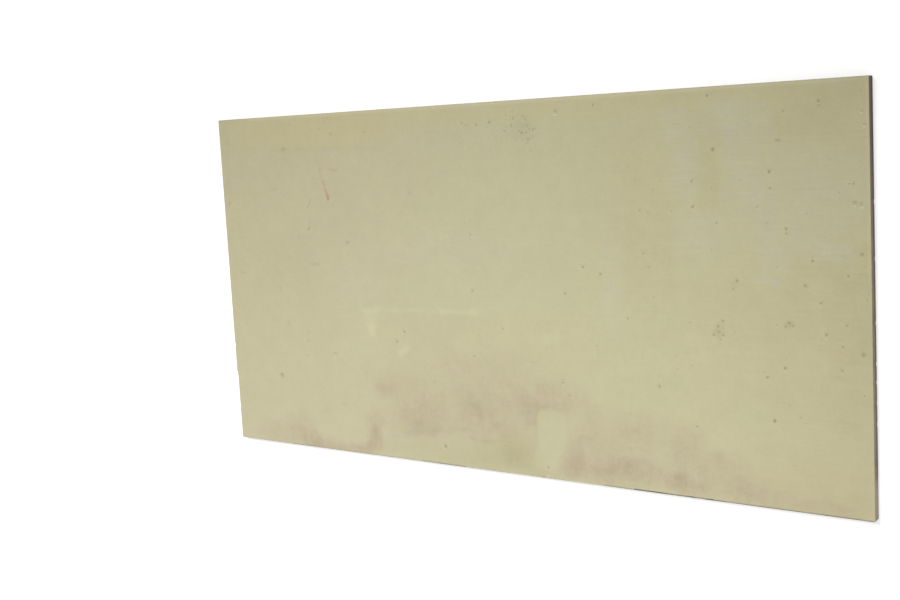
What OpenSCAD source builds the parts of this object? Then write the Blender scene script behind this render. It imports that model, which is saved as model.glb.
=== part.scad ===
// Moulded faux stone wall panel: one rigid 8 ft x 4 ft sheet, lying flat with its smooth face up.
// X runs along the length, Y across the width, Z up out of the face.
// The origin is the centre of the underside.

/* [Sheet] */
// Length of the sheet
sheet_l = 2440; // [1800:10:3660]
// Width of the sheet
sheet_w = 1220; // [900:10:1830]
// Thickness of the sheet
sheet_t = 34; // [20:1:60]

/* [Rounded edges] */
// Radius of the arris round the upper face
face_arris = 2; // [0.5:0.5:6]
// Radius of the arris round the underside
under_arris = 1; // [0.5:0.5:6]
// Radius of the upright corners, in plan
corner_r = 3; // [1:0.5:12]

/* [Short stretch of the left end] */
// How far that stretch lies inside the rest of the end
step_depth = 4; // [1:0.5:12]
// Length of the stretch, from the front edge
step_l = 250; // [60:10:600]

/* [Air bubble pits in the face] */
// Mouth radius of a large pit
big_pit_r = 8; // [4:0.5:16]
// Depth of a large pit
big_pit_depth = 3; // [1:0.5:8]
// Mouth radius of a small pit
small_pit_r = 5; // [2:0.5:10]
// Depth of a small pit
small_pit_depth = 2; // [0.5:0.5:6]

/* [Chips knocked out of the edges] */
// Radius of the rounded bite that a chip leaves
chip_r = 12; // [6:1:30]
// How deep a chip bites into an arris
chip_depth = 4; // [1:0.5:6]

/* [Hidden] */
$fn = 48;

spare = 5; // how far a cutting shape runs past what it trims
right_end = sheet_l / 2;
left_end = -right_end;
back_edge = sheet_w / 2;
front_edge = -back_edge;
step_y = front_edge + step_l;
step_lap = 4 * corner_r + spare; // overlap of the two stretches, enough to bury their inner corners

// Pits: distance from the right end, distance from the back edge
big_pits = [[965, 46], [1092, 108], [43, 339]];
small_pits = [
    [1149, 49], [1122, 35], [1083, 55], [1129, 85], [1071, 83], [1053, 118],
    [20, 94], [13, 128], [24, 345],
];

// Chips along the lower arris of the right end: distance from the back edge
right_chips = [337, 491, 667, 780, 833, 890, 950];
// Chips along the upper arris of the left end: distance behind its short stretch
left_chips = [114, 5];
// Chips along the upper arris of the front edge: distance from the right end
front_chips = [1067];

// A rectangle from one corner to the opposite one, with round corners
module rounded_rect(low, high, r) {
    size = high - low;
    translate([low.x + r, low.y]) square([size.x - 2 * r, size.y]);
    translate([low.x, low.y + r]) square([size.x, size.y - 2 * r]);
    for (x = [low.x + r, high.x - r], y = [low.y + r, high.y - r])
        translate([x, y]) circle(r);
}

// Section through the sheet from one edge to the other, standing on the underside
module section(from, to) {
    intersection() {
        rounded_rect([from, -2 * face_arris - spare], [to, sheet_t], face_arris);
        rounded_rect([from, 0], [to, sheet_t + 2 * under_arris + spare], under_arris);
    }
}

// The section along the length, drawn out over a stretch of the width
module long_section(from_x, from_y, to_y) {
    translate([0, to_y, 0])
        rotate([90, 0, 0])
            linear_extrude(to_y - from_y) section(from_x, right_end);
}

// The section across the width, drawn out over the whole length
module cross_section() {
    translate([left_end - spare, 0, 0])
        rotate([90, 0, 90])
            linear_extrude(sheet_l + 2 * spare) section(front_edge, back_edge);
}

// The outline seen from above, with its short stretch at the left end
module plan() {
    rounded_rect([left_end, step_y], [right_end, back_edge], corner_r);
    rounded_rect([left_end + step_depth, front_edge], [right_end, step_y + step_lap], corner_r);
}

// The sheet is what its plan and its two sections have in common
module sheet() {
    intersection() {
        linear_extrude(sheet_t) plan();
        cross_section();
        union() {
            long_section(left_end, step_y, back_edge + spare);
            long_section(left_end + step_depth, front_edge - spare, step_y + step_lap);
        }
    }
}

// A shallow round hollow in the face, given by its mouth and its depth
module pit(mouth_r, depth) {
    ball_r = (mouth_r * mouth_r + depth * depth) / (2 * depth);
    translate([0, 0, sheet_t - depth + ball_r]) sphere(ball_r);
}

// The bite of a chip into an arris at the origin; out points away from the sheet on both of its faces
module chip(out) {
    translate(out * (chip_r - chip_depth) / norm(out)) sphere(chip_r);
}

module pits() {
    for (at = big_pits)
        translate([right_end - at.x, back_edge - at.y, 0]) pit(big_pit_r, big_pit_depth);
    for (at = small_pits)
        translate([right_end - at.x, back_edge - at.y, 0]) pit(small_pit_r, small_pit_depth);
}

module chips() {
    for (from_back = right_chips)
        translate([right_end, back_edge - from_back, 0]) chip([1, 0, -1]);
    for (behind = left_chips)
        translate([left_end, step_y + behind, sheet_t]) chip([-1, 0, 1]);
    for (from_right = front_chips)
        translate([right_end - from_right, front_edge, sheet_t]) chip([0, -1, 1]);
}

module panel() {
    color("#c4be98") difference() {
        sheet();
        pits();
        chips();
    }
}

panel();
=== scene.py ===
import math

import bpy
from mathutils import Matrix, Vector


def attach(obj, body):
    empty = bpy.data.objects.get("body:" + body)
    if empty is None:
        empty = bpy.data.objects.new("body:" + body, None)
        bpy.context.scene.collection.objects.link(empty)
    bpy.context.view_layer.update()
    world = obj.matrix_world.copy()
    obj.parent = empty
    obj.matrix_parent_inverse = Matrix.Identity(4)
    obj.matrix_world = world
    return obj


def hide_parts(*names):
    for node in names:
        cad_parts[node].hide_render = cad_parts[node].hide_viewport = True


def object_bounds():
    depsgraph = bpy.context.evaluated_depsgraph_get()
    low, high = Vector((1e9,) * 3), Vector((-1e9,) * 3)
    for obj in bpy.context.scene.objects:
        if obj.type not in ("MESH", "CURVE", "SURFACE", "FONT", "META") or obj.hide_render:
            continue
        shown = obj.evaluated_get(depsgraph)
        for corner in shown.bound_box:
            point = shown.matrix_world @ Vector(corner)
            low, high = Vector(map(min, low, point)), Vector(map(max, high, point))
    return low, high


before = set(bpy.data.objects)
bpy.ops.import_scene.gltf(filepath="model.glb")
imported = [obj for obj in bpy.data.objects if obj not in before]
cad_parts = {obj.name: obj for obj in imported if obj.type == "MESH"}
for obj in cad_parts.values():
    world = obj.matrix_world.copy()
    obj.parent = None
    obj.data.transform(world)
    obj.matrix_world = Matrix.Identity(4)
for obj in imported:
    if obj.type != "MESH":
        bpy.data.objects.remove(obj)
cadLow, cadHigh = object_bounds()
halfLength = cadHigh.x
halfWidth = cadHigh.y
faceTop = cadHigh.z
print(f"frame loaded: sheet {2 * halfLength:.3f} x {2 * halfWidth:.3f} x {faceTop:.3f} m")


def linearColour(hexColour):
    channels = [int(hexColour[i:i + 2], 16) / 255 for i in (1, 3, 5)]
    curve = [c / 12.92 if c <= 0.04045 else ((c + 0.055) / 1.055) ** 2.4 for c in channels]
    return (*curve, 1)


def addNode(tree, kind, inputs=None, **settings):
    new = tree.nodes.new(kind)
    for name, value in settings.items():
        setattr(new, name, value)
    for socket, value in (inputs or {}).items():
        if isinstance(value, bpy.types.NodeSocket):
            tree.links.new(value, new.inputs[socket])
        else:
            new.inputs[socket].default_value = value
    return new


def meshObject(name, points, faces=()):
    mesh = bpy.data.meshes.new(name)
    mesh.from_pydata(points, [], faces)
    thing = bpy.data.objects.new(name, mesh)
    bpy.context.collection.objects.link(thing)
    return thing


# camera: a 49 mm lens, 3.3 m up beyond the right end, looking down across the sheet
view = {
    "place": (2.205, 0.510, 3.309),
    "lookAt": (-0.049, 0.045, faceTop),
    "roll": -2.98,  # degrees
    "lens": 48.84,  # mm
    "sensor": 36,
    "shift": (-0.0363, -0.0262),  # share of the frame's width
    "farthest": 100,
}


def placeCamera(view):
    data = bpy.data.cameras.new("camera")
    data.lens = view["lens"]
    data.shift_x, data.shift_y = view["shift"]
    data.sensor_width = view["sensor"]
    data.clip_end = view["farthest"]
    camera = bpy.data.objects.new("camera", data)
    bpy.context.collection.objects.link(camera)
    forward = (Vector(view["lookAt"]) - Vector(view["place"])).normalized()
    right = forward.cross(Vector((0, 1, 0))).normalized()
    up = right.cross(forward)
    roll = math.radians(view["roll"])
    right, up = (
        right * math.cos(roll) + up * math.sin(roll),
        up * math.cos(roll) - right * math.sin(roll),
    )
    matrix = camera.matrix_world.to_3x3()
    for row in range(3):
        matrix[row] = (right[row], up[row], -forward[row])
    camera.rotation_euler = matrix.to_euler()
    camera.location = view["place"]
    bpy.context.scene.camera = camera


placeCamera(view)
print("camera placed")

# the bare moulding: a closed block of quads with rounded arrises, before anything is cut into it
block = {
    "cell": 0.015,  # spacing of the mesh lines over the face
    "faceArris": 0.002,
    "underArris": 0.001,
    "corner": 0.003,  # radius of the upright corners
    "arcSteps": 4,
    "wallSteps": 4,
    "stepDepth": 0.004,  # the front stretch of the left end lies this far in
    "stepLength": 0.25,
    "stepRun": 0.012,  # the step is drawn out over this much of the end
    "stepFade": 0.1,  # and fades out over this much of the length
}


def arcProfile(block):
    # how far each ring of the wall lies inside the outline, and its height, from the underside up
    steps = block["arcSteps"]
    low, high = block["underArris"], block["faceArris"]
    turns = [math.pi / 2 * i / steps for i in range(steps + 1)]
    rings = [(low * (1 - math.sin(a)), low * (1 - math.cos(a))) for a in turns]
    wall = faceTop - low - high
    rings += [(0, low + wall * i / block["wallSteps"]) for i in range(1, block["wallSteps"])]
    rings += [(high * (1 - math.cos(a)), faceTop - high * (1 - math.sin(a))) for a in turns]
    return rings


def spacedLine(half, cell):
    count = round(2 * half / cell)
    return [-half + 2 * half * i / count for i in range(count + 1)]


def makeBlock(name, block):
    corner = block["corner"]
    xs = spacedLine(halfLength - corner, block["cell"])
    ys = spacedLine(halfWidth - corner, block["cell"])
    steps = block["arcSteps"]

    def ring(inset, height):
        # anticlockwise from the front left: four straight sides and the round corners between them
        radius = corner - inset
        out = []
        sides = (
            ([(x, -halfWidth + inset) for x in xs], (xs[-1], ys[0]), -90),
            ([(halfLength - inset, y) for y in ys], (xs[-1], ys[-1]), 0),
            ([(x, halfWidth - inset) for x in reversed(xs)], (xs[0], ys[-1]), 90),
            ([(-halfLength + inset, y) for y in reversed(ys)], (xs[0], ys[0]), 180),
        )
        for side, (cx, cy), start in sides:
            out += side
            for i in range(1, steps):
                angle = math.radians(start + 90 * i / steps)
                out.append((cx + radius * math.cos(angle), cy + radius * math.sin(angle)))
        return [(x, y, height) for x, y in out]

    profile = arcProfile(block)
    points, faces = [], []
    for inset, height in profile:
        points += ring(inset, height)
    around = len(points) // len(profile)
    for level in range(len(profile) - 1):
        for i in range(around):
            a = level * around + i
            b = level * around + (i + 1) % around
            faces.append((a, b, b + around, a + around))

    def cap(firstOfRing, height, upward):
        # a grid inside the ring, joined to it by a strip along each side and a fan at each corner
        start = len(points)
        points.extend((x, y, height) for y in ys for x in xs)
        wide, deep = len(xs), len(ys)

        def grid(i, j):
            return start + j * wide + i

        def turned(face):
            faces.append(face if upward else tuple(reversed(face)))

        for j in range(deep - 1):
            for i in range(wide - 1):
                turned((grid(i, j), grid(i + 1, j), grid(i + 1, j + 1), grid(i, j + 1)))
        border = (
            [grid(i, 0) for i in range(wide)],
            [grid(wide - 1, j) for j in range(deep)],
            [grid(i, deep - 1) for i in reversed(range(wide))],
            [grid(0, j) for j in reversed(range(deep))],
        )
        at = firstOfRing
        for side in border:
            for i in range(len(side) - 1):
                turned((at + i, at + i + 1, side[i + 1], side[i]))
            at += len(side) - 1
            for i in range(steps):
                after = firstOfRing + (at + i + 1 - firstOfRing) % around
                turned((at + i, after, side[-1]))
            at += steps

    cap(0, 0, False)
    cap((len(profile) - 1) * around, faceTop, True)

    stepY = -halfWidth + block["stepLength"]
    for n, (x, y, z) in enumerate(points):
        into = min(max((stepY - y) / block["stepRun"] + 0.5, 0), 1)
        into = into * into * (3 - 2 * into)
        nearEnd = max(0, -x - halfLength + block["stepFade"]) / block["stepFade"]
        points[n] = (x + block["stepDepth"] * into * nearEnd, y, z)
    return meshObject(name, points, faces)


# what was moulded or knocked into it: places and sizes in metres
hollows = {
    # air bubbles that broke the skin: x, y, mouth radius, depth
    "bubbles": [
        (0.255, 0.564, 0.008, 0.003), (0.128, 0.502, 0.008, 0.003), (1.177, 0.271, 0.008, 0.003),
        (0.071, 0.561, 0.005, 0.002), (0.098, 0.575, 0.005, 0.002), (0.137, 0.555, 0.005, 0.002),
        (0.091, 0.525, 0.005, 0.002), (0.149, 0.527, 0.005, 0.002), (0.167, 0.492, 0.005, 0.002),
        (1.2, 0.516, 0.005, 0.002), (1.207, 0.482, 0.005, 0.002), (1.196, 0.265, 0.005, 0.002),
    ],
    # smaller dents, darkened with dirt and painted shade: x, y, mouth radius
    "dents": [
        (-0.983, -0.349, 0.01), (-0.239, -0.546, 0.008), (0.938, -0.35, 0.007), (1.093, -0.093, 0.006),
        (1.195, -0.143, 0.008), (1.195, 0.132, 0.007), (1.058, 0.113, 0.006), (0.984, 0.202, 0.006),
        (0.984, 0.188, 0.0048), (0.939, 0.363, 0.006), (0.94, 0.316, 0.0048), (0.704, 0.266, 0.006),
        (1.083, 0.55, 0.0056), (1.083, 0.537, 0.0038), (0.39, 0.061, 0.006), (0.329, 0.082, 0.0056),
        (0.26, -0.003, 0.0056), (-0.094, -0.005, 0.006), (-0.389, -0.157, 0.006), (-0.423, -0.192, 0.0056),
        (0.538, 0.126, 0.0048), (0.532, 0.257, 0.0048), (0.559, 0.25, 0.0048), (0.972, -0.194, 0.006),
        (-0.102, 0.544, 0.0048), (0.387, 0.578, 0.0048), (0.772, 0.43, 0.007), (0.759, 0.584, 0.0056),
        (-0.09, 0.182, 0.0048), (0.554, 0.086, 0.0048), (0.006, 0.543, 0.006), (0.788, -0.067, 0.0056),
        (0.773, -0.083, 0.0056), (0.758, -0.109, 0.0048), (0.788, -0.109, 0.0048), (0.775, -0.1, 0.0056),
        (0.779, -0.121, 0.0038), (0.987, -0.064, 0.006), (0.976, -0.076, 0.0056), (0.999, -0.072, 0.0048),
        (0.578, -0.276, 0.0056), (0.919, -0.225, 0.0056), (1.136, -0.191, 0.0048), (1.139, -0.124, 0.0048),
        (1.151, -0.064, 0.0048), (1.157, 0.073, 0.0048), (1.035, 0.043, 0.006), (0.835, 0.052, 0.006),
        (0.823, 0.028, 0.0048), (1.079, -0.004, 0.0048), (0.568, -0.004, 0.0038), (0.568, -0.032, 0.0038),
        (0.478, -0.073, 0.0048), (0.478, -0.37, 0.0038), (0.697, -0.389, 0.0048), (0.777, 0.22, 0.0048),
        (0.901, 0.264, 0.0038), (0.238, -0.289, 0.0048), (0.262, -0.33, 0.0048), (0.17, -0.574, 0.0056),
        (0.02, -0.508, 0.0048), (1.175, 0.324, 0.0048), (0.703, 0.34, 0.0048), (-0.098, -0.225, 0.0048),
        (0.02, -0.127, 0.0048), (-1.102, 0.123, 0.0048), (-0.769, 0.067, 0.0048), (-0.625, 0.15, 0.0048),
        (-1.138, 0.032, 0.0038), (-0.842, -0.216, 0.0038), (-0.835, -0.17, 0.0038), (-0.086, 0.5375, 0.005),
        (-0.044, 0.5375, 0.005), (0.098, 0.551, 0.005), (0.142, 0.544, 0.005), (0.0625, 0.512, 0.0048),
        (0.15, 0.482, 0.0048), (0.17, 0.513, 0.0048),
    ],
    "dentDepth": 0.25,  # share of a dent's radius
}
chips = {
    "radius": 0.012,
    "depth": 0.004,
    "rightEnd": [0.273, 0.119, -0.057, -0.170, -0.223, -0.280, -0.340],  # y, on the lower arris
    "leftEnd": [-0.246, -0.355],  # y, on the upper arris
    "frontEdge": [0.153],  # x, on the upper arris
}
moulding = {
    "Wave Depth": 0.0005,
    "Waves per Metre": 3.2,
    "Pinholes per Square Metre": 1100.0,
    "Pinhole Radius": 0.0018,
    "Seed": 7,
}
# the balls that cut the hollows: how finely they are divided, how many lumps there are to a radius, and
# how far in those go, as a share of it
ball = {"steps": 3, "tinySteps": 2, "lumpsAcross": 1.6, "lumpsIn": 0.07}
pinholes = {
    "apart": 0.008,
    "leftShare": 0.06,  # share of their number per square metre at the left end, and at the right end
    "rightShare": 0.25,
    "crowdAt": (0.125, 0.525, faceTop),  # where they crowd together
    "crowdRadius": 0.1,
    "crowdShare": 4.0,
    "smallest": 0.4,  # share of the largest radius
    "smallBias": 2.5,  # the higher, the fewer large ones
}
finishNumbers = {"edge": 0, "face": 1, "underside": 2, "broken": 3, "dirt": 4}
# how far up a side has to look, from -1 to 1, to be of the face, to hold pinholes, or to be of the underside
upright = {"face": 0.3, "pinholes": 0.99, "underside": -0.6}
sharpFrom = 32  # degrees


def markerObject(name, marks):
    # a cloud of points, each with the half sizes of what is cut out there
    cloud = meshObject(name, [place for place, _ in marks])
    sizes = cloud.data.attributes.new("size", "FLOAT_VECTOR", "POINT")
    for n, (_, size) in enumerate(marks):
        sizes.data[n].vector = size
    return cloud


def capMarker(x, y, mouth, depth):
    # a flattened ball with its centre above the face bites out a shallow bowl with a soft rim
    lift = 2 * depth
    wide = mouth / math.sqrt(1 - (lift / (lift + depth)) ** 2)
    return (x, y, faceTop + lift), (wide, wide, lift + depth)


def hollowMarkers(hollows):
    share = hollows["dentDepth"]
    bubbles = [capMarker(*bubble) for bubble in hollows["bubbles"]]
    dents = [capMarker(x, y, mouth, mouth * share) for x, y, mouth in hollows["dents"]]
    return markerObject("bubbleMarkers", bubbles), markerObject("dentMarkers", dents)


def chipMarkers(chips):
    r = chips["radius"]
    out = (r - chips["depth"]) / math.sqrt(2)
    marks = [(halfLength + out, y, -out) for y in chips["rightEnd"]]
    marks += [(-halfLength - out, y, faceTop + out) for y in chips["leftEnd"]]
    marks += [(x, -halfWidth - out, faceTop + out) for x in chips["frontEdge"]]
    return markerObject("chipMarkers", [(place, (r, r, r)) for place in marks])


def mouldingTree(finishes):
    tree = bpy.data.node_groups.new("mouldedSheet", "GeometryNodeTree")
    sockets = tree.interface
    sockets.new_socket("Geometry", in_out="INPUT", socket_type="NodeSocketGeometry")
    for name in ("Bubble Markers", "Dent Markers", "Chip Markers"):
        sockets.new_socket(name, in_out="INPUT", socket_type="NodeSocketObject")
    for name in ("Wave Depth", "Waves per Metre", "Pinholes per Square Metre", "Pinhole Radius"):
        sockets.new_socket(name, in_out="INPUT", socket_type="NodeSocketFloat")
    sockets.new_socket("Seed", in_out="INPUT", socket_type="NodeSocketInt")
    sockets.new_socket("Geometry", in_out="OUTPUT", socket_type="NodeSocketGeometry")
    given = addNode(tree, "NodeGroupInput").outputs

    # long shallow waves, only ever inwards, so the sheet keeps its size
    swell = addNode(tree, "ShaderNodeTexNoise", {"Scale": given["Waves per Metre"], "Detail": 3.0})
    inward = addNode(
        tree, "ShaderNodeMath", {0: swell.outputs[0], 1: given["Wave Depth"]}, operation="MULTIPLY"
    )
    outward = addNode(tree, "ShaderNodeMath", {0: inward.outputs[0], 1: -1.0}, operation="MULTIPLY")
    normal = addNode(tree, "GeometryNodeInputNormal")
    push = addNode(
        tree, "ShaderNodeVectorMath", {0: normal.outputs[0], "Scale": outward.outputs[0]},
        operation="SCALE",
    )
    body = addNode(
        tree, "GeometryNodeSetPosition", {"Geometry": given["Geometry"], "Offset": push.outputs[0]}
    )

    # which finish each side of the block wears
    facing = addNode(tree, "ShaderNodeSeparateXYZ", {0: normal.outputs[0]})
    looks = {
        side: addNode(
            tree, "FunctionNodeCompare", {0: facing.outputs["Z"], 1: level},
            data_type="FLOAT", operation="GREATER_THAN" if level > 0 else "LESS_THAN",
        ).outputs[0]
        for side, level in upright.items()
    }
    for finish, chosen in (("edge", True), ("face", looks["face"]), ("underside", looks["underside"])):
        body = addNode(
            tree, "GeometryNodeStoreNamedAttribute",
            {
                "Geometry": body.outputs[0], "Selection": chosen, "Name": "finish",
                "Value": finishNumbers[finish],
            },
            data_type="INT", domain="FACE",
        )

    # one lumpy ball does for every bubble, dent and chip, turned and stretched differently each time
    smooth = addNode(tree, "GeometryNodeMeshIcoSphere", {"Radius": 1.0, "Subdivisions": ball["steps"]})
    lumps = addNode(tree, "ShaderNodeTexNoise", {"Scale": ball["lumpsAcross"], "Detail": 2.0})
    lumpSize = addNode(
        tree, "ShaderNodeMapRange",
        {
            "Value": lumps.outputs[0], "From Min": 0.3, "From Max": 0.7,
            "To Min": -ball["lumpsIn"], "To Max": 0.0,
        },
    )
    lumpPush = addNode(
        tree, "ShaderNodeVectorMath", {0: normal.outputs[0], "Scale": lumpSize.outputs[0]},
        operation="SCALE",
    )
    lumpy = addNode(
        tree, "GeometryNodeSetPosition",
        {"Geometry": smooth.outputs["Mesh"], "Offset": lumpPush.outputs[0]},
    )

    # pinholes, scattered over the face, more of them towards the right end
    place = addNode(tree, "GeometryNodeInputPosition")
    along = addNode(tree, "ShaderNodeSeparateXYZ", {0: place.outputs[0]})
    rightwards = addNode(
        tree, "ShaderNodeMapRange",
        {
            "Value": along.outputs["X"], "From Min": -halfLength, "From Max": halfLength,
            "To Min": pinholes["leftShare"], "To Max": pinholes["rightShare"],
        },
    )
    reach = addNode(
        tree, "ShaderNodeVectorMath", {0: place.outputs[0], 1: pinholes["crowdAt"]}, operation="DISTANCE"
    )
    crowd = addNode(
        tree, "ShaderNodeMapRange",
        {
            "Value": reach.outputs["Value"], "From Min": pinholes["crowdRadius"], "From Max": 0.0,
            "To Min": 0.0, "To Max": pinholes["crowdShare"],
        },
    )
    factor = addNode(
        tree, "ShaderNodeMath", {0: rightwards.outputs[0], 1: crowd.outputs[0]}, operation="ADD",
        use_clamp=True,
    )
    scattered = addNode(
        tree, "GeometryNodeDistributePointsOnFaces",
        {
            "Mesh": body.outputs[0], "Selection": looks["pinholes"],
            "Distance Min": pinholes["apart"], "Density Max": given["Pinholes per Square Metre"],
            "Density Factor": factor.outputs[0], "Seed": given["Seed"],
        },
        distribute_method="POISSON",
    )
    chance = addNode(
        tree, "FunctionNodeRandomValue", {2: 0.0, 3: 1.0, "Seed": given["Seed"]}, data_type="FLOAT"
    )
    mostlySmall = addNode(
        tree, "ShaderNodeMath", {0: chance.outputs[1], 1: pinholes["smallBias"]}, operation="POWER"
    )
    share = addNode(
        tree, "ShaderNodeMapRange",
        {"Value": mostlySmall.outputs[0], "To Min": pinholes["smallest"], "To Max": 1.0},
    )
    holeRadius = addNode(
        tree, "ShaderNodeMath", {0: share.outputs[0], 1: given["Pinhole Radius"]},
        operation="MULTIPLY",
    )
    tiny = addNode(tree, "GeometryNodeMeshIcoSphere", {"Radius": 1.0, "Subdivisions": ball["tinySteps"]})

    # everything that is cut out: points, the ball that cuts there, its size, and the finish it leaves
    size = addNode(tree, "GeometryNodeInputNamedAttribute", {"Name": "size"}, data_type="FLOAT_VECTOR")
    anyTurn = addNode(
        tree, "FunctionNodeRandomValue",
        {"Min": (0.0, 0.0, 0.0), "Max": (0.0, 0.0, 2 * math.pi), "Seed": given["Seed"]},
        data_type="FLOAT_VECTOR",
    )
    carved = []
    # dents and pinholes are lined with dirt and painted shade
    for marker, finish in (("Bubble Markers", "face"), ("Dent Markers", "dirt"), ("Chip Markers", "broken")):
        cloud = addNode(tree, "GeometryNodeObjectInfo", {"Object": given[marker]})
        points = addNode(tree, "GeometryNodeMeshToPoints", {"Mesh": cloud.outputs["Geometry"]})
        carved.append((points.outputs[0], lumpy.outputs[0], size.outputs["Attribute"], finish))
    carved.append((scattered.outputs["Points"], tiny.outputs["Mesh"], holeRadius.outputs[0], "dirt"))
    cut = addNode(tree, "GeometryNodeMeshBoolean", operation="DIFFERENCE", solver="MANIFOLD")
    tree.links.new(body.outputs[0], cut.inputs["Mesh 1"])
    for points, cutter, scale, finish in carved:
        marked = addNode(
            tree, "GeometryNodeStoreNamedAttribute",
            {"Geometry": cutter, "Selection": True, "Name": "finish", "Value": finishNumbers[finish]},
            data_type="INT", domain="FACE",
        )
        strewn = addNode(
            tree, "GeometryNodeInstanceOnPoints",
            {
                "Points": points, "Instance": marked.outputs[0], "Rotation": anyTurn.outputs[0],
                "Scale": scale,
            },
        )
        tree.links.new(strewn.outputs[0], cut.inputs["Mesh 2"])

    last = addNode(tree, "GeometryNodeRealizeInstances", {"Geometry": cut.outputs[0]})
    worn = addNode(tree, "GeometryNodeInputNamedAttribute", {"Name": "finish"}, data_type="INT")
    for finish, number in finishNumbers.items():
        chosen = addNode(
            tree, "FunctionNodeCompare", {2: worn.outputs["Attribute"], 3: number},
            data_type="INT", operation="EQUAL",
        )
        last = addNode(
            tree, "GeometryNodeSetMaterial",
            {"Geometry": last.outputs[0], "Selection": chosen.outputs[0], "Material": finishes[finish]},
        )
    addNode(tree, "NodeGroupOutput", {"Geometry": last.outputs[0]})
    return tree


def makeSheet(finishes):
    blank = makeBlock("sheetBlank", block)
    tree = mouldingTree(finishes)
    values = dict(moulding)
    values["Bubble Markers"], values["Dent Markers"] = hollowMarkers(hollows)
    values["Chip Markers"] = chipMarkers(chips)
    shaper = blank.modifiers.new("moulding", "NODES")
    shaper.node_group = tree
    for item in tree.interface.items_tree:
        if item.in_out == "INPUT" and item.name in values:
            shaper[item.identifier] = values[item.name]
    ready = blank.evaluated_get(bpy.context.evaluated_depsgraph_get())
    mesh = bpy.data.meshes.new_from_object(ready)
    mesh.name = "mouldedSheet"
    blank.modifiers.remove(shaper)
    sheet = bpy.data.objects.new("mouldedSheet", mesh)
    bpy.context.collection.objects.link(sheet)
    for helper in (blank, *(values[name] for name in values if name.endswith("Markers"))):
        bpy.data.objects.remove(helper)
    mesh.attributes.remove(mesh.attributes["finish"])
    if mesh.materials[0] is None:  # the slot of the bare block, which nothing wears
        mesh.materials.pop(index=0)
    mesh.shade_smooth()
    mesh.set_sharp_from_angle(angle=math.radians(sharpFrom))
    return sheet


def perMetre(millimetres):
    return 1000 / millimetres


def blotchField(tree, place, blotches, inner, square=False):
    # adds up soft blotches: x, y, half length, half width, strength.
    # each is full inside its inner share and nothing at its rim; square ones have blunt ends
    total = None
    for x, y, halfLong, halfWide, strength in blotches:
        away = addNode(
            tree, "ShaderNodeVectorMath",
            {0: place, 1: (1 / halfLong, 1 / halfWide, 0), 2: (-x / halfLong, -y / halfWide, 0)},
            operation="MULTIPLY_ADD",
        ).outputs[0]
        if square:
            away = addNode(tree, "ShaderNodeVectorMath", {0: away, 1: away}, operation="MULTIPLY").outputs[0]
        reach = addNode(tree, "ShaderNodeVectorMath", {0: away}, operation="LENGTH").outputs["Value"]
        total = addPatch(tree, total, reach, 1.0, inner, strength)
    return total


def streakField(tree, place, streaks, inner):
    # adds up soft strokes with round ends: from x, y to x, y, half width, strength
    total = None
    for fromX, fromY, toX, toY, halfWide, strength in streaks:
        run = Vector((toX - fromX, toY - fromY, 0))
        perRun = run / run.length_squared
        away = addNode(
            tree, "ShaderNodeVectorMath", {0: place, 1: (fromX, fromY, 0)}, operation="SUBTRACT"
        ).outputs[0]
        along = addNode(tree, "ShaderNodeVectorMath", {0: away, 1: perRun}, operation="DOT_PRODUCT")
        share = addNode(
            tree, "ShaderNodeMath", {0: along.outputs["Value"], 1: 0.0}, operation="MAXIMUM"
        )
        share = addNode(tree, "ShaderNodeMath", {0: share.outputs[0], 1: 1.0}, operation="MINIMUM")
        nearest = addNode(
            tree, "ShaderNodeVectorMath", {0: run, "Scale": share.outputs[0]}, operation="SCALE"
        )
        reach = addNode(
            tree, "ShaderNodeVectorMath", {0: away, 1: nearest.outputs[0]}, operation="DISTANCE"
        ).outputs["Value"]
        total = addPatch(tree, total, reach, halfWide, inner * halfWide, strength)
    return total


def addPatch(tree, total, reach, rim, full, strength):
    patch = addNode(
        tree, "ShaderNodeMapRange",
        {"Value": reach, "From Min": rim, "From Max": full, "To Min": 0.0, "To Max": strength},
        interpolation_type="SMOOTHSTEP", clamp=False,
    ).outputs[0]
    if total is None:
        return patch
    return addNode(tree, "ShaderNodeMath", {0: total, 1: patch}, operation="ADD").outputs[0]


def noiseField(tree, place, sizes, detail, rough, counts, levels=(0.0, 1.0)):
    # noise with lumps of these sizes in mm, along, across and through the sheet, and then the same
    # noise with the part of its range that counts spread from one level to the other
    scaled = addNode(
        tree, "ShaderNodeMapping", {"Vector": place, "Scale": [perMetre(size) for size in sizes]}
    )
    noise = addNode(
        tree, "ShaderNodeTexNoise",
        {"Vector": scaled.outputs[0], "Scale": 1.0, "Detail": detail, "Roughness": rough},
    ).outputs[0]
    spread = addNode(
        tree, "ShaderNodeMapRange",
        {
            "Value": noise, "From Min": counts[0], "From Max": counts[1],
            "To Min": levels[0], "To Max": levels[1],
        },
    ).outputs[0]
    return noise, spread


def setStops(ramp, stops):
    ramp.elements.remove(ramp.elements[1])
    for n, (at, hexColour) in enumerate(stops):
        stop = ramp.elements[0] if n == 0 else ramp.elements.new(at)
        stop.position = at
        stop.color = linearColour(hexColour)


def startMaterial(name, values):
    # a material with its shader's plain values set, and the place of each point on the piece
    material = bpy.data.materials.new(name)
    material.use_nodes = True
    tree = material.node_tree
    shader = tree.nodes["Principled BSDF"]
    for socket, value in values.items():
        shader.inputs[socket].default_value = value
    return material, tree, shader, addNode(tree, "ShaderNodeTexCoord").outputs["Object"]


# how one colour is laid over another: sockets 0, 6 and 7 are the amount, what lies under and what over
overlay = {"data_type": "RGBA", "clamp_factor": True}
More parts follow.
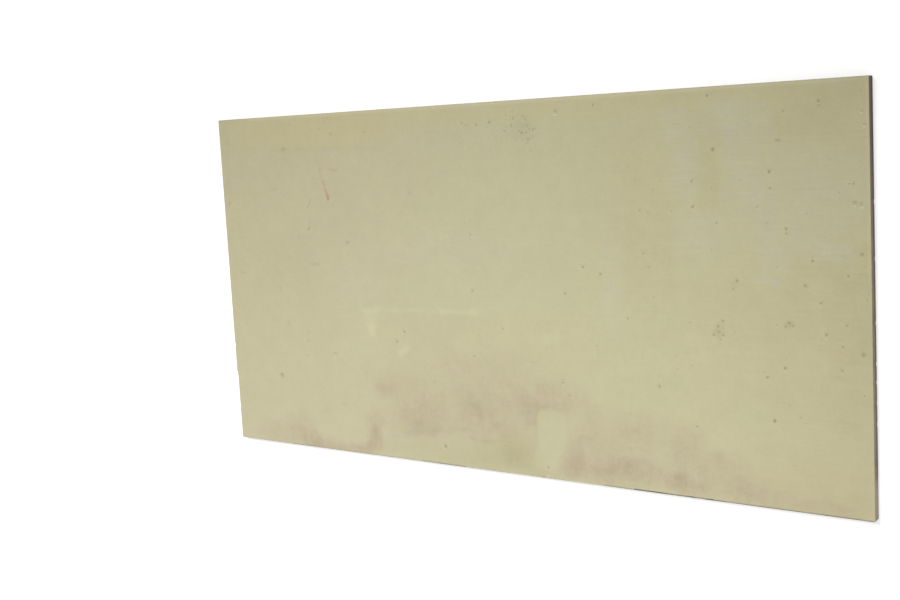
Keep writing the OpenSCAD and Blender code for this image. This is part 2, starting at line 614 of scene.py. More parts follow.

# skin of rigid polyurethane foam, cast against a smooth mould: even dull cream with a slight sheen,
# marked by damp, by chalky water that ran down it, and by dirt and painted shade in its open bubbles
foamSkin = {
    # from the left end to the right end, along the front edge and along the back edge
    "creams": [
        [(0.0, "#C9C29F"), (0.25, "#C5BF9D"), (0.5, "#C3BE9B"), (0.8, "#C9C39E"), (1.0, "#C7C09A")],
        [(0.0, "#C5BE99"), (0.25, "#C3BC99"), (0.5, "#C4BE99"), (1.0, "#C5BE95")],
    ],
    "roughness": 0.55,
    "dulled": 0.2,  # what chalk and damp add to that
    "specular": 0.35,  # dust takes the edge off its shine
    "wander": [(8, 0.003), (30, 0.009), (130, 0.035)],  # how far borders stray: size in mm, reach in metres
    # uneven tone: size in mm, share of the tone
    "mottle": [(260, 0.02), (50, 0.024), (20, 0.018), (9, 0.02)],
    "mottleCounts": (0.2, 0.8),  # the part of its range that counts
    # noise that breaks the marks up: its sizes in mm, detail, roughness, the part of its range that
    # counts, and what it multiplies by at either end of that. the comb is the fine lines left by drawing
    # the mould coat out, and damp stands in risen columns
    "patterns": {
        "comb": ((260, 11, 1000), 3.0, 0.5, (0.35, 0.65), (0.5, 1.5)),
        "uneven": ((55, 55, 55), 6.0, 0.62, (0.3, 0.7), (0.5, 1.5)),
        "speckled": ((22, 22, 22), 4.0, 0.7, (0.3, 0.7), (0.55, 1.45)),
        "risen": ((36, 240, 1000), 3.0, 0.5, (0.3, 0.7), (0.8, 1.2)),
    },
    "grainTone": 0.01,  # share of the tone
    "grainBump": (0.0004, 0.6),  # metres, strength
    "skinGrain": 2.5,  # mm, the fine orange peel of the skin
    "skinBump": (0.00012, 0.7),
    "chalkDrag": 0.07,  # metres, how far the borders of chalk are combed along the grain
    # what marks it, each laid over the last: its name, how its borders stray, its colour or the layer that
    # it bares again, and the steps to its amount. marks are added, with their inner share and whether their
    # ends are blunt, and a pattern's name breaks up the sum so far
    "layers": [
        ("kept", "strayed", "#C8BE9A", [("kept", 0.6, True)]),
        ("blush", "strayed", "#C4B48E", [("blush", 0.1)]),
        ("gold", "strayed", "#CEC089", [("gold", 0.2, True)]),
        ("olive", "strayed", "#B7AC7F", [("olive", 0.1, True), "uneven"]),
        ("seams", "flat", "#B9B292", [("seams", 0.0)]),
        ("brown", "strayed", "#B3AA85", [("brown", 0.1)]),
        ("damp", "strayed", "#BBAD8F", [("damp", 0.25), "speckled", "risen"]),
        ("grime", "strayed", "#AA9C85", [("grime", 0.0), "uneven", "risen", ("driedEdges", 0.0)]),
        ("wiped", "nearly", "seams", [("wiped", 0.65, True)]),
        ("clean", "nearly", "#CDC9A2", [("clean", 0.1)]),
        ("cleanStrokes", "nearly", "#CDC9A2", [("cleanStrokes", 0.0)]),
        # painted highlights on the lit rims of the bubbles
        ("rimHighlights", "flat", "#E6E0C2", [("rimHighlights", 0.2)]),
        ("paleEdgeStrips", "flat", "#E6E0C2", [("paleEdgeStrips", 0.0)]),
        (
            "chalk", "combed", "#C8C3A7",
            [("chalk", 0.4, True), ("chalkRuns", 0.5), ("chalkHaze", 0.2), "comb", "speckled"],
        ),
        ("crayon", "nearly", "#B6896E", [("crayon", 0.0)]),
        ("crayonDots", "nearly", "#B6896E", [("crayonDots", 0.0)]),
        ("spots", "nearly", "#8C8468", [("spots", 0.0), "uneven"]),
        # painted shade along the front and back arrises
        ("arrisShade", "flat", "#5F5A54", [("arrisShade", 0.4), "uneven"]),
    ],
    # the marks: a blotch is x, y, half length, half width, strength, and a stroke is from x, y to x, y,
    # half width, strength. the first are warm cream that was kept dry under something laid on it
    "kept": [(-0.245, -0.175, 0.335, 0.1, 0.26), (0.17, -0.17, 0.22, 0.11, 0.18)],
    "blush": [
        (1.04, -0.53, 0.34, 0.15, 0.26), (1.15, -0.3, 0.12, 0.17, 0.14), (1.085, 0.505, 0.075, 0.065, 0.24),
    ],
    # yellowed where light reached it along the back edge
    "gold": [(-0.78, 0.556, 0.5, 0.075, 0.28), (0.3, 0.59, 0.9, 0.055, 0.18)],
    "olive": [
        (0.525, 0.24, 0.14, 0.33, 0.11), (0.755, 0.37, 0.05, 0.17, 0.18), (1.055, 0.5, 0.15, 0.075, 0.17),
        (1.15, 0.575, 0.12, 0.035, 0.12), (1.17, -0.02, 0.09, 0.24, 0.22), (0.9, -0.05, 0.24, 0.12, 0.12),
        (1.05, 0.085, 0.07, 0.055, 0.16),
    ],
    "seams": [(-0.83, 0.485, -0.48, 0.485, 0.016, 0.18), (-0.96, 0.487, -0.88, 0.487, 0.016, 0.14)],
    "brown": [
        (0.06, -0.525, 0.11, 0.13, 0.66), (-0.02, -0.55, 0.17, 0.1, 0.34), (-0.25, -0.57, 0.34, 0.1, 0.3),
        (1.155, -0.29, 0.11, 0.15, 0.08), (-0.4, -0.315, 0.22, 0.08, 0.18), (0.15, -0.6, 0.12, 0.05, 0.36),
    ],
    # rosy damp that rose from the front edge, and the grey grime left where it stood longest
    "damp": [
        (0.000, -0.34, 0.27, 0.13, 0.38), (0.05, -0.4, 0.2, 0.11, 0.22), (0.235, -0.345, 0.13, 0.085, 0.4),
        (-0.18, -0.38, 0.11, 0.09, 0.26), (-0.37, -0.37, 0.22, 0.09, 0.32), (-0.31, -0.45, 0.21, 0.1, 0.44),
        (-0.08, -0.455, 0.17, 0.08, 0.52), (-0.48, -0.365, 0.08, 0.055, 0.32),
        (-0.45, -0.47, 0.12, 0.075, 0.28), (-0.55, -0.48, 0.065, 0.07, 0.46),
        (-0.555, -0.545, 0.06, 0.06, 0.6), (-0.59, -0.59, 0.06, 0.04, 0.52),
        (-0.73, -0.604, 0.21, 0.048, 0.72), (-0.97, -0.58, 0.22, 0.075, 0.38),
        (-0.89, -0.525, 0.11, 0.075, 0.32), (-0.77, -0.466, 0.06, 0.02, 0.22),
        (-0.85, -0.575, 0.09, 0.05, 0.34), (-0.55, -0.56, 0.05, 0.05, 0.2),
        (-0.19, -0.265, 0.12, 0.06, 0.26), (0.16, -0.3, 0.06, 0.05, 0.24), (0.33, -0.485, 0.13, 0.115, 0.48),
        (0.485, -0.49, 0.13, 0.12, 0.41), (0.675, -0.5, 0.122, 0.118, 0.4), (0.8, -0.535, 0.13, 0.095, 0.42),
        (0.93, -0.575, 0.14, 0.055, 0.34), (0.42, -0.568, 0.27, 0.07, 0.6), (1.09, -0.585, 0.14, 0.04, 0.42),
        (0.26, -0.55, 0.08, 0.09, 0.38), (0.6, -0.415, 0.18, 0.06, 0.26), (0.43, -0.395, 0.15, 0.065, 0.26),
        (0.05, -0.485, 0.15, 0.055, 0.2), (0.65, -0.575, 0.11, 0.05, 0.54), (0.84, -0.59, 0.15, 0.035, 0.26),
        (0.18, -0.39, 0.08, 0.045, 0.36), (0.3, -0.355, 0.085, 0.055, 0.12), (-0.5, -0.56, 0.1, 0.045, 0.2),
        (-0.79, -0.56, 0.13, 0.035, 0.18),
    ],
    "grime": [
        (0.115, -0.39, 0.07, 0.065, 0.38), (-0.11, -0.402, 0.07, 0.045, 0.32),
        (-0.11, -0.37, 0.1, 0.08, 0.12), (-0.335, -0.49, 0.1, 0.04, 0.36), (-0.32, -0.45, 0.12, 0.065, 0.24),
        (-0.5, -0.365, 0.055, 0.036, 0.2), (-0.55, -0.52, 0.045, 0.04, 0.28),
        (-0.575, -0.58, 0.04, 0.045, 0.3), (-0.84, -0.592, 0.06, 0.035, 0.24),
        (0.25, -0.56, 0.07, 0.065, 0.26), (0.285, -0.515, 0.07, 0.06, 0.18),
        (0.385, -0.55, 0.06, 0.045, 0.2), (0.452, -0.55, 0.07, 0.065, 0.32),
        (0.645, -0.555, 0.06, 0.055, 0.26), (0.64, -0.48, 0.08, 0.07, 0.16),
        (0.765, -0.48, 0.035, 0.03, 0.16), (0.85, -0.555, 0.08, 0.035, 0.16),
        (-0.22, -0.21, 0.08, 0.08, 0.06), (0.000, -0.235, 0.24, 0.07, 0.13),
    ],
    "driedEdges": [
        (-0.025, -0.455, 0.12, -0.425, 0.016, 0.34), (-0.47, -0.522, -0.3, -0.502, 0.018, 0.24),
        (-0.13, -0.503, -0.01, -0.503, 0.015, 0.3), (-0.3, -0.487, -0.13, -0.47, 0.016, 0.16),
    ],
    # wiped back to the bare skin
    "wiped": [
        (-0.712, -0.506, 0.13, 0.062, 0.9), (0.188, -0.455, 0.057, 0.082, 0.9),
        (0.165, -0.545, 0.048, 0.056, 0.26),
    ],
    "clean": [
        (0.85, 0.525, 0.13, 0.08, 0.3), (-0.55, -0.19, 0.18, 0.12, 0.16), (-0.67, -0.28, 0.14, 0.13, 0.16),
        (-0.44, -0.155, 0.06, 0.045, 0.18), (0.54, -0.195, 0.13, 0.09, 0.14), (0.89, -0.35, 0.15, 0.1, 0.14),
        (0.4675, -0.215, 0.07, 0.045, 0.2), (0.168, -0.604, 0.014, 0.007, 0.8),
        (-0.02, -0.01, 0.52, 0.1, 0.16), (1.16, 0.31, 0.06, 0.06, 0.24),
    ],
    "cleanStrokes": [
        (-0.572, -0.082, -0.534, -0.175, 0.02, 0.45), (-0.508, -0.082, -0.532, -0.175, 0.02, 0.45),
        (-0.556, -0.086, -0.516, -0.086, 0.022, 0.45), (-0.541, -0.09, -0.533, -0.16, 0.026, 0.6),
        (-0.495, -0.082, -0.25, -0.079, 0.013, 0.36), (-0.23, -0.078, -0.08, -0.075, 0.015, 0.72),
        (-0.408, -0.228, -0.385, -0.209, 0.026, 0.8), (0.18, -0.152, 0.225, -0.147, 0.024, 0.5),
    ],
    # painted highlights on the lit rims of the bubbles, and pale strips along the back edge and the right
    # end
    "rimHighlights": [
        (1.198, 0.513, 0.008, 0.005, 0.5), (1.206, 0.476, 0.006, 0.004, 0.4),
        (1.179, 0.264, 0.009, 0.005, 0.6), (1.197, 0.261, 0.008, 0.005, 0.65),
        (0.252, 0.5555, 0.013, 0.004, 0.5),
    ],
    "paleEdgeStrips": [(-1.06, 0.606, 1.18, 0.606, 0.0125, 0.21), (1.214, 0.05, 1.214, 0.59, 0.006, 0.09)],
    "chalk": [
        (0.652, 0.52, 0.045, 0.05, 0.28), (0.658, 0.43, 0.035, 0.07, 0.24),
        (0.685, 0.35, 0.042, 0.095, 0.37), (0.75, 0.525, 0.032, 0.042, 0.2), (0.865, 0.515, 0.1, 0.08, 0.3),
        (0.93, 0.05, 0.048, 0.024, 0.36), (1.118, 0.142, 0.064, 0.038, 0.5), (1.1, 0.3, 0.14, 0.12, 0.2),
    ],
    "chalkRuns": [
        (0.815, 0.56, 0.895, 0.33, 0.048, 0.21), (0.9, 0.31, 0.945, 0.11, 0.044, 0.33),
        (0.795, 0.535, 0.803, 0.477, 0.014, 0.2), (0.803, 0.477, 0.85, 0.36, 0.014, 0.26),
        (0.85, 0.36, 0.856, 0.305, 0.016, 0.24), (0.664, 0.52, 0.672, 0.35, 0.018, 0.16),
        (0.742, 0.51, 0.745, 0.48, 0.014, 0.16), (0.918, 0.05, 0.962, 0.042, 0.01, 0.22),
        (1.075, 0.15, 1.165, 0.155, 0.018, 0.16), (0.995, 0.222, 1.045, 0.19, 0.012, 0.2),
    ],
    "chalkHaze": [
        (0.436, 0.085, 0.06, 0.28, 0.26), (-0.16, 0.135, 0.56, 0.1, 0.12), (0.72, 0.19, 0.13, 0.12, 0.22),
        (0.99, 0.31, 0.27, 0.19, 0.2), (0.98, 0.17, 0.16, 0.07, 0.2), (-0.56, 0.01, 0.22, 0.13, 0.14),
    ],
    "crayon": [
        (-0.708, 0.34, -0.698, 0.309, 0.01, 0.54), (-0.717, 0.37, -0.708, 0.34, 0.009, 0.34),
        (-0.729, 0.412, -0.717, 0.37, 0.009, 0.17), (-0.738, 0.445, -0.729, 0.412, 0.009, 0.09),
        (-0.69, 0.412, -0.645, 0.408, 0.0075, 0.28), (-0.722, 0.415, -0.69, 0.412, 0.006, 0.14),
        (-0.782, 0.307, -0.797, 0.279, 0.0095, 0.32), (-0.789, 0.238, -0.797, 0.208, 0.009, 0.19),
        (-1.182, 0.54, -1.184, 0.38, 0.013, 0.07),
    ],
    "crayonDots": [
        (-0.798, 0.2, 0.012, 0.008, 0.56), (-0.699, 0.312, 0.01, 0.014, 0.6),
        (-0.904, 0.094, 0.018, 0.01, 0.12), (-0.9535, 0.35, 0.018, 0.015, 0.11),
        (-0.825, 0.49, 0.016, 0.006, 0.14), (-0.77, -0.467, 0.034, 0.012, 0.14),
        (-0.93, 0.15, 0.01, 0.01, 0.07),
    ],
    "spots": [
        (-0.9, 0.08, 0.22, 0.2, 0.055), (-0.984, -0.35, 0.018, 0.015, 0.2),
        (-0.8975, 0.491, 0.02, 0.013, 0.28), (-0.667, 0.5375, 0.015, 0.012, 0.24),
        (-0.326, 0.32, 0.017, 0.015, 0.16), (-1.19, 0.3, 0.014, 0.018, 0.26),
        (-0.62, 0.152, 0.018, 0.014, 0.2), (0.774, -0.098, 0.03, 0.036, 0.22),
        (0.986, -0.069, 0.024, 0.016, 0.26), (0.968, 0.451, 0.018, 0.007, 0.4),
        (-0.84, -0.18, 0.012, 0.012, 0.18), (-0.845, -0.265, 0.014, 0.01, 0.16),
        (-0.9305, -0.15, 0.012, 0.02, 0.16), (-0.513, 0.536, 0.018, 0.006, 0.26),
        (-0.71, -0.25, 0.018, 0.006, 0.22), (0.125, 0.52, 0.08, 0.06, 0.1),
        (-0.85, 0.173, 0.012, 0.012, 0.16), (-0.785, 0.075, 0.03, 0.012, 0.14),
        (-1.15, 0.035, 0.022, 0.01, 0.16), (-0.96, -0.02, 0.01, 0.018, 0.14),
        (0.15, 0.485, 0.026, 0.008, 0.14), (1.19, 0.271, 0.02, 0.006, 0.2),
        (1.035, 0.043, 0.012, 0.01, 0.14), (0.83, 0.045, 0.018, 0.014, 0.12),
        (0.772, 0.43, 0.014, 0.01, 0.09), (-0.68, -0.436, 0.022, 0.012, 0.12),
        (-0.271, -0.321, 0.014, 0.014, 0.12),
    ],
    # painted shade along the arrises: a dark line along the front arris here and there, and a faint one
    # along the whole back arris
    "arrisShade": [
        (0.37, -0.6095, 0.47, -0.6095, 0.005, 0.45), (-0.95, -0.6095, -0.38, -0.6095, 0.0045, 0.3),
        (0.48, -0.61, 0.74, -0.61, 0.0062, 1.00), (-0.34, -0.61, -0.16, -0.61, 0.0055, 0.65),
        (0.72, -0.61, 1.215, -0.61, 0.005, 0.75), (-1.215, 0.6095, 1.215, 0.6095, 0.0045, 0.1),
    ],
    # scattered flecks: spacing and radius in mm, share of the cells that have one, strength
    "fleckColour": "#8C8468",
    "flecks": [(30, 2.8, 0.2, 0.4), (12, 2.0, 0.4, 0.18)],
    "fleckStrengths": (0.2, 1.3),  # what that is multiplied by at the left end and at the right end
    # where larger ones crowd together
    "crowdFleck": (15, 4.5, 0.55, 0.34),
    "crowds": [
        (0.13, 0.515, 0.11, 0.085, 1.0), (0.02, 0.52, 0.3, 0.11, 0.45), (0.25, 0.4, 0.45, 0.22, 0.25),
        (-0.25, 0.48, 0.2, 0.09, 0.2),
    ],
    "shadeAndDustFrom": 0.0004,  # metres below the face at which dust and painted shade in the bubbles start, and are darkest
    "shadeAndDustFull": 0.0012,
    "shadeAndDustTone": 0.93,
}


def foamSkinMaterial(skin):
    material, tree, shader, place = startMaterial(
        "polyurethaneFoamSkin", {"Specular IOR Level": skin["specular"]}
    )

    # where on the face, seen flat, then strayed a little and strayed more, so that no border is clean
    flat = addNode(
        tree, "ShaderNodeVectorMath", {0: place, 1: (1.0, 1.0, 0.0)}, operation="MULTIPLY"
    ).outputs[0]
    strayed = flat
    for size, reach in skin["wander"]:
        drift = addNode(
            tree, "ShaderNodeTexNoise", {"Vector": place, "Scale": perMetre(size), "Detail": 2.0}
        )
        centred = addNode(
            tree, "ShaderNodeVectorMath", {0: drift.outputs["Color"], 1: (0.5, 0.5, 0.5)},
            operation="SUBTRACT",
        )
        moved = addNode(
            tree, "ShaderNodeVectorMath", {0: centred.outputs[0], "Scale": reach * 2}, operation="SCALE"
        )
        nearly, strayed = strayed, addNode(
            tree, "ShaderNodeVectorMath", {0: strayed, 1: moved.outputs[0]}, operation="ADD"
        ).outputs[0]

    # cream from end to end and from edge to edge
    axes = addNode(tree, "ShaderNodeSeparateXYZ", {0: strayed})
    along, across = (
        addNode(
            tree, "ShaderNodeMapRange", {"Value": axes.outputs[name], "From Min": -half, "From Max": half}
        ).outputs[0]
        for name, half in (("X", halfLength), ("Y", halfWidth))
    )
    front, back = (addNode(tree, "ShaderNodeValToRGB", {0: along}) for _ in skin["creams"])
    for run, stops in zip((front, back), skin["creams"]):
        setStops(run.color_ramp, stops)
    colour = addNode(
        tree, "ShaderNodeMix", {0: across, 6: front.outputs[0], 7: back.outputs[0]}, **overlay
    ).outputs[2]

    noises, patterns = {}, {}
    for name, pattern in skin["patterns"].items():
        noises[name], patterns[name] = noiseField(tree, place, *pattern)
    grain = noises["comb"]

    # combed places are dragged out along the grain, to either side
    drag = Vector((skin["chalkDrag"], 0, 0))
    dragged = addNode(tree, "ShaderNodeVectorMath", {0: drag, "Scale": grain}, operation="SCALE")
    evened = addNode(tree, "ShaderNodeVectorMath", {0: dragged.outputs[0], 1: -drag / 2}, operation="ADD")
    combed = addNode(
        tree, "ShaderNodeVectorMath", {0: evened.outputs[0], 1: strayed}, operation="ADD"
    ).outputs[0]

    readings = {"flat": flat, "nearly": nearly, "strayed": strayed, "combed": combed}
    amounts, colours = {}, {}
    for name, borders, look, steps in skin["layers"]:
        amount = None
        for step in steps:
            if step in patterns:
                change, joined = patterns[step], "MULTIPLY"
            else:
                key, *shape = step
                field = streakField if len(skin[key][0]) == 6 else blotchField
                change, joined = field(tree, readings[borders], skin[key], *shape), "ADD"
            amount = change if amount is None else addNode(
                tree, "ShaderNodeMath", {0: amount, 1: change}, operation=joined
            ).outputs[0]
        over = colours[look] if look in colours else linearColour(look)
        colour = addNode(tree, "ShaderNodeMix", {0: amount, 6: colour, 7: over}, **overlay).outputs[2]
        amounts[name], colours[name] = amount, colour

    # scattered flecks, stronger towards the right end and in the crowds
    weak, strong = skin["fleckStrengths"]
    rightwards = addNode(
        tree, "ShaderNodeMapRange", {"Value": along, "To Min": weak, "To Max": strong}
    ).outputs[0]
    crowded = blotchField(tree, strayed, skin["crowds"], 0.0)
    strewn = [(fleck, rightwards) for fleck in skin["flecks"]] + [(skin["crowdFleck"], crowded)]
    for (spacing, radius, share, strength), where in strewn:
        cells = addNode(tree, "ShaderNodeTexVoronoi", {"Vector": place, "Scale": perMetre(spacing)})
        amount = addNode(
            tree, "ShaderNodeMapRange",
            {
                "Value": cells.outputs["Distance"], "From Min": radius / spacing,
                "From Max": 0.3 * radius / spacing, "To Min": 0.0, "To Max": strength,
            },
            interpolation_type="SMOOTHSTEP",
        ).outputs[0]
        draw = addNode(tree, "ShaderNodeSeparateColor", {0: cells.outputs["Color"]})
        picked = addNode(
            tree, "ShaderNodeMath", {0: draw.outputs[0], 1: 1 - share}, operation="GREATER_THAN"
        ).outputs[0]
        for factor in (picked, where):
            amount = addNode(
                tree, "ShaderNodeMath", {0: amount, 1: factor}, operation="MULTIPLY"
            ).outputs[0]
        over = linearColour(skin["fleckColour"])
        colour = addNode(tree, "ShaderNodeMix", {0: amount, 6: colour, 7: over}, **overlay).outputs[2]

    # tone: grain lines, strongest at the right end, mottling, and dust and painted shade down in the bubbles
    lined = addNode(
        tree, "ShaderNodeMapRange",
        {
            "Value": grain, "From Min": 0.3, "From Max": 0.7,
            "To Min": -skin["grainTone"], "To Max": skin["grainTone"],
        },
    ).outputs[0]
    tone = addNode(
        tree, "ShaderNodeMath", {0: lined, 1: rightwards, 2: 1.0}, operation="MULTIPLY_ADD"
    ).outputs[0]
    levels = [
        noiseField(tree, place, (size,) * 3, 2.0, 0.5, skin["mottleCounts"], (1 - share, 1 + share))[1]
        for size, share in skin["mottle"]
    ]
    height = addNode(tree, "ShaderNodeSeparateXYZ", {0: place})
    levels.append(addNode(
        tree, "ShaderNodeMapRange",
        {
            "Value": height.outputs["Z"], "From Min": faceTop - skin["shadeAndDustFrom"],
            "From Max": faceTop - skin["shadeAndDustFull"], "To Min": 1.0, "To Max": skin["shadeAndDustTone"],
        },
    ).outputs[0])
    for level in levels:
        tone = addNode(tree, "ShaderNodeMath", {0: tone, 1: level}, operation="MULTIPLY").outputs[0]
    toned = addNode(tree, "ShaderNodeVectorMath", {0: colour, "Scale": tone}, operation="SCALE")
    tree.links.new(toned.outputs[0], shader.inputs["Base Color"])

    # chalk and damp leave the skin duller
    dull = addNode(tree, "ShaderNodeMath", {0: amounts["chalk"], 1: amounts["damp"]}, operation="ADD")
    rough = addNode(
        tree, "ShaderNodeMapRange",
        {
            "Value": dull.outputs[0], "To Min": skin["roughness"],
            "To Max": skin["roughness"] + skin["dulled"],
        },
    )
    tree.links.new(rough.outputs[0], shader.inputs["Roughness"])

    distance, strength = skin["grainBump"]
    drawn = addNode(tree, "ShaderNodeBump", {"Height": grain, "Distance": distance, "Strength": strength})
    peel = addNode(
        tree, "ShaderNodeTexNoise", {"Vector": place, "Scale": perMetre(skin["skinGrain"]), "Detail": 2.0}
    )
    distance, strength = skin["skinBump"]
    skinBump = addNode(
        tree, "ShaderNodeBump",
        {
            "Height": peel.outputs[0], "Distance": distance, "Strength": strength,
            "Normal": drawn.outputs[0],
        },
    )
    tree.links.new(skinBump.outputs[0], shader.inputs["Normal"])
    return material


# stone-coloured acrylic coat with sand in it, rolled over the sawn edges: dull, gritty grey-brown
stoneCoat = {
    "coat": "#B6A99A",
    # noise laid over it: sizes in mm, detail, roughness, the part of its range over which it sets in.
    # the sand is coarser than the real grit so that it shows
    "smear": ((60, 60, 60), 4.0, 0.5, (0.45, 0.75)),
    "smearColour": "#8D8176",
    "sand": ((3, 3, 3), 3.0, 0.5, (0.55, 0.75)),
    "sandColour": "#E3D7C4",
    # tints from the back edge to the front edge: painted shade, darkest at the back
    "shadeTints": [
        (0.0, "#968E8D"), (0.16, "#A19B96"), (0.28, "#B8B5B0"), (0.42, "#C6C5BE"),
        (0.68, "#D4D4CD"), (0.78, "#DCDCD5"), (0.86, "#CAC9C3"), (0.92, "#F1F2EC"), (1.0, "#F2F3ED"),
    ],
    "underTint": "#C7C6BF",
    "lowColour": "#7F7768",
    "lowStrip": (0.016, 0.014),  # heights between which the darker strip along the lower arris sets in
    "lowEnds": (-0.53, -0.47),  # y, between which the strip fades out before the front corner
    "lowShare": 0.95,
    "roughness": 0.85,
    "bump": 0.0006,
}


def stoneCoatMaterial(name, coat, graded):
    material, tree, shader, place = startMaterial(name, {"Roughness": coat["roughness"]})
    _, smeared = noiseField(tree, place, *coat["smear"])
    sand, sandy = noiseField(tree, place, *coat["sand"])
    colour = linearColour(coat["coat"])
    for amount, over in ((smeared, coat["smearColour"]), (sandy, coat["sandColour"])):
        colour = addNode(
            tree, "ShaderNodeMix", {0: amount, 6: colour, 7: linearColour(over)}, **overlay
        ).outputs[2]
    tintAndShade = linearColour(coat["underTint"])[:3]
    # on the upright edges the tints are painted shade, darkest towards the back edge, and a darker strip
    # runs along the lower arris
    if graded:
        axes = addNode(tree, "ShaderNodeSeparateXYZ", {0: place})
        across = addNode(
            tree, "ShaderNodeMapRange",
            {"Value": axes.outputs["Y"], "From Min": halfWidth, "From Max": -halfWidth},
        )
        run = addNode(tree, "ShaderNodeValToRGB", {0: across.outputs[0]})
        setStops(run.color_ramp, coat["shadeTints"])
        tintAndShade = run.outputs[0]
        above, below = coat["lowStrip"]
        low = addNode(
            tree, "ShaderNodeMapRange",
            {
                "Value": axes.outputs["Z"], "From Min": above, "From Max": below,
                "To Min": 0.0, "To Max": coat["lowShare"],
            },
        )
        front, back = coat["lowEnds"]
        along = addNode(
            tree, "ShaderNodeMapRange", {"Value": axes.outputs["Y"], "From Min": front, "From Max": back}
        )
        strip = addNode(
            tree, "ShaderNodeMath", {0: low.outputs[0], 1: along.outputs[0]}, operation="MULTIPLY"
        )
        over = linearColour(coat["lowColour"])
        colour = addNode(
            tree, "ShaderNodeMix", {0: strip.outputs[0], 6: colour, 7: over}, **overlay
        ).outputs[2]
    tintedAndShaded = addNode(tree, "ShaderNodeVectorMath", {0: colour, 1: tintAndShade}, operation="MULTIPLY")
    tree.links.new(tintedAndShaded.outputs[0], shader.inputs["Base Color"])
    grit = addNode(tree, "ShaderNodeBump", {"Height": sand, "Distance": coat["bump"]})
    tree.links.new(grit.outputs[0], shader.inputs["Normal"])
    return material


# broken polyurethane foam: torn open cells, pale straw, dark grey-brown in patches, quite without shine
tornFoam = {
    "foam": "#C9BE97",
    "dirt": "#5C5044",
    "cell": 1.6,  # mm
    # sizes of its patches in mm, detail, roughness, the part of its range over which it sets in
    "dirtPatches": ((40, 40, 40), 3.0, 0.5, (0.4, 0.65)),
    "roughness": 0.95,
    "bump": 0.001,
}


def tornFoamMaterial(torn):
    material, tree, shader, place = startMaterial("tornFoam", {"Roughness": torn["roughness"]})
    cells = addNode(
        tree, "ShaderNodeTexVoronoi", {"Vector": place, "Scale": perMetre(torn["cell"])}
    )
    _, darkened = noiseField(tree, place, *torn["dirtPatches"])
    foam, dirt = linearColour(torn["foam"]), linearColour(torn["dirt"])
    colour = addNode(tree, "ShaderNodeMix", {0: darkened, 6: foam, 7: dirt}, **overlay)
    tree.links.new(colour.outputs[2], shader.inputs["Base Color"])
    pores = addNode(
        tree, "ShaderNodeBump", {"Height": cells.outputs["Distance"], "Distance": torn["bump"]}
    )
    tree.links.new(pores.outputs[0], shader.inputs["Normal"])
    return material


# dust and grime that have settled in the dents and pinholes, with painted shade: dull brown-grey, darkest at
# the bottom
hollowDirtAndShade = {
    "skin": "#C2BB97",
    "dirt": "#B9B18D",
    "brown": "#B0A784",
    # where it is browner: sizes in mm, detail, roughness, the part of its range over which it sets in
    "brownClumps": ((25, 25, 25), 2.0, 0.5, (0.45, 0.6)),
    "starts": 0.0004,  # metres below the face
    "full": 0.0009,
    "roughness": 0.9,
    "specular": 0.2,
}


def hollowDirtAndShadeMaterial(packed):
    material, tree, shader, place = startMaterial(
        "hollowDirtAndShade", {"Roughness": packed["roughness"], "Specular IOR Level": packed["specular"]}
    )
    _, browner = noiseField(tree, place, *packed["brownClumps"])
    height = addNode(tree, "ShaderNodeSeparateXYZ", {0: place})
    # darker the deeper below the face: dirt and painted shade
    depthDarkening = addNode(
        tree, "ShaderNodeMapRange",
        {
            "Value": height.outputs["Z"], "From Min": faceTop - packed["starts"],
            "From Max": faceTop - packed["full"],
        },
    )
    skin, dirt, brown = (linearColour(packed[name]) for name in ("skin", "dirt", "brown"))
    dirt = addNode(tree, "ShaderNodeMix", {0: browner, 6: dirt, 7: brown}, **overlay)
    colour = addNode(
        tree, "ShaderNodeMix", {0: depthDarkening.outputs[0], 6: skin, 7: dirt.outputs[2]}, **overlay
    )
    tree.links.new(colour.outputs[2], shader.inputs["Base Color"])
    return material


finishes = {
    "edge": stoneCoatMaterial("sandedAcrylicCoat", stoneCoat, True),
    "face": foamSkinMaterial(foamSkin),
    "underside": stoneCoatMaterial("sandedAcrylicUnderside", stoneCoat, False),
    "broken": tornFoamMaterial(tornFoam),
    "dirt": hollowDirtAndShadeMaterial(hollowDirtAndShade),
}
print("finishes mixed")
sheet = makeSheet(finishes)
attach(sheet, "root")
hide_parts("panel")
mesh = sheet.data
mesh.calc_loop_triangles()
print(f"sheet made: {len(mesh.vertices)} points, {len(mesh.loop_triangles)} triangles")

# plain pale floor, white to the camera but still taking the sheet's shadow
studio = {
    "floorSize": 60,
    "floorColour": "#E6E6E4",
    "floorRoughness": 0.9,
    "floorLift": 0.52,  # glow that only the camera sees, near the sheet and far from it
    "floorLiftFar": 1.0,
    "liftFrom": 0.08,  # metres from the sheet at which the glow starts to grow, and ends
    "liftTo": 0.5,
    "worldLevel": 0.4,
    # name, place, looks at, side in metres, watts, spread in degrees
    "lamps": [
        ("key", (0.28, 2.0, 4.8), (-0.93, -4.2, 0), 1.6, 97, 95),
        ("endFill", (4.0, -0.8, 1.0), (1.2, 0, 0), 1.2, 8, 180),
    ],
}


def cameraRay(tree):
    path = addNode(tree, "ShaderNodeLightPath").outputs
    seen = path["Is Camera Ray"]
    for other in ("Is Glossy Ray", "Is Transmission Ray"):
        seen = addNode(tree, "ShaderNodeMath", {0: seen, 1: path[other]}, operation="MAXIMUM").outputs[0]
    return seen


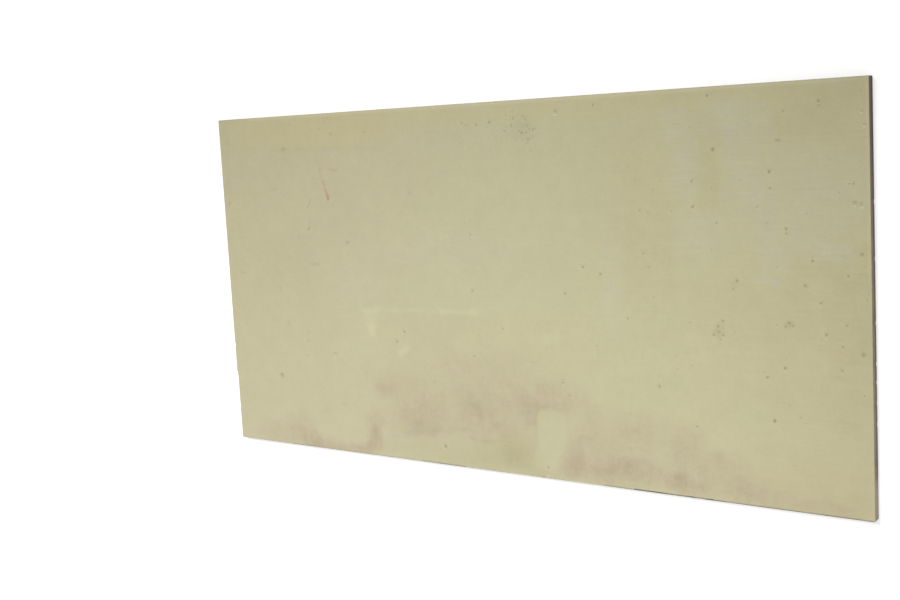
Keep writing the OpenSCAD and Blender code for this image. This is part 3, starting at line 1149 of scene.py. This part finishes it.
def makeStudio(studio):
    half = studio["floorSize"] / 2
    floor = meshObject(
        "floor", [(-half, -half, 0), (half, -half, 0), (half, half, 0), (-half, half, 0)], [(0, 1, 2, 3)]
    )
    material, tree, shader, place = startMaterial("paperFloor", {
        "Base Color": linearColour(studio["floorColour"]), "Roughness": studio["floorRoughness"],
        "Specular IOR Level": 0.0,
    })
    seen = cameraRay(tree)
    mirrored = addNode(tree, "ShaderNodeVectorMath", {0: place}, operation="ABSOLUTE")
    beyond = addNode(
        tree, "ShaderNodeVectorMath", {0: mirrored.outputs[0], 1: (halfLength, halfWidth, 0)},
        operation="SUBTRACT",
    )
    outside = addNode(
        tree, "ShaderNodeVectorMath", {0: beyond.outputs[0], 1: (0, 0, 0)}, operation="MAXIMUM"
    )
    away = addNode(tree, "ShaderNodeVectorMath", {0: outside.outputs[0]}, operation="LENGTH")
    glowing = addNode(
        tree, "ShaderNodeMapRange",
        {
            "Value": away.outputs["Value"], "From Min": studio["liftFrom"], "From Max": studio["liftTo"],
            "To Min": studio["floorLift"], "To Max": studio["floorLiftFar"],
        },
    )
    lift = addNode(tree, "ShaderNodeMath", {0: seen, 1: glowing.outputs[0]}, operation="MULTIPLY")
    glow = addNode(tree, "ShaderNodeEmission", {"Strength": lift.outputs[0]})
    both = addNode(tree, "ShaderNodeAddShader", {0: shader.outputs[0], 1: glow.outputs[0]})
    tree.links.new(both.outputs[0], tree.nodes["Material Output"].inputs["Surface"])
    floor.data.materials.append(material)

    world = bpy.data.worlds.new("studio")
    world.use_nodes = True
    tree = world.node_tree
    level = addNode(
        tree, "ShaderNodeMapRange",
        {"Value": cameraRay(tree), "To Min": studio["worldLevel"], "To Max": 1.0},
    )
    tree.links.new(level.outputs[0], tree.nodes["Background"].inputs["Strength"])
    tree.nodes["Background"].inputs["Color"].default_value = (1, 1, 1, 1)
    bpy.context.scene.world = world

    for name, place, target, side, watts, spread in studio["lamps"]:
        data = bpy.data.lights.new(name, "AREA")
        data.size = side
        data.energy = watts
        data.spread = math.radians(spread)
        lamp = bpy.data.objects.new(name, data)
        bpy.context.collection.objects.link(lamp)
        lamp.location = place
        aim = Vector(target) - Vector(place)
        lamp.rotation_euler = aim.to_track_quat("-Z", "Y").to_euler()
        lamp.visible_camera = False
    bpy.context.scene.view_settings.view_transform = "Standard"


makeStudio(studio)
print("studio lit")
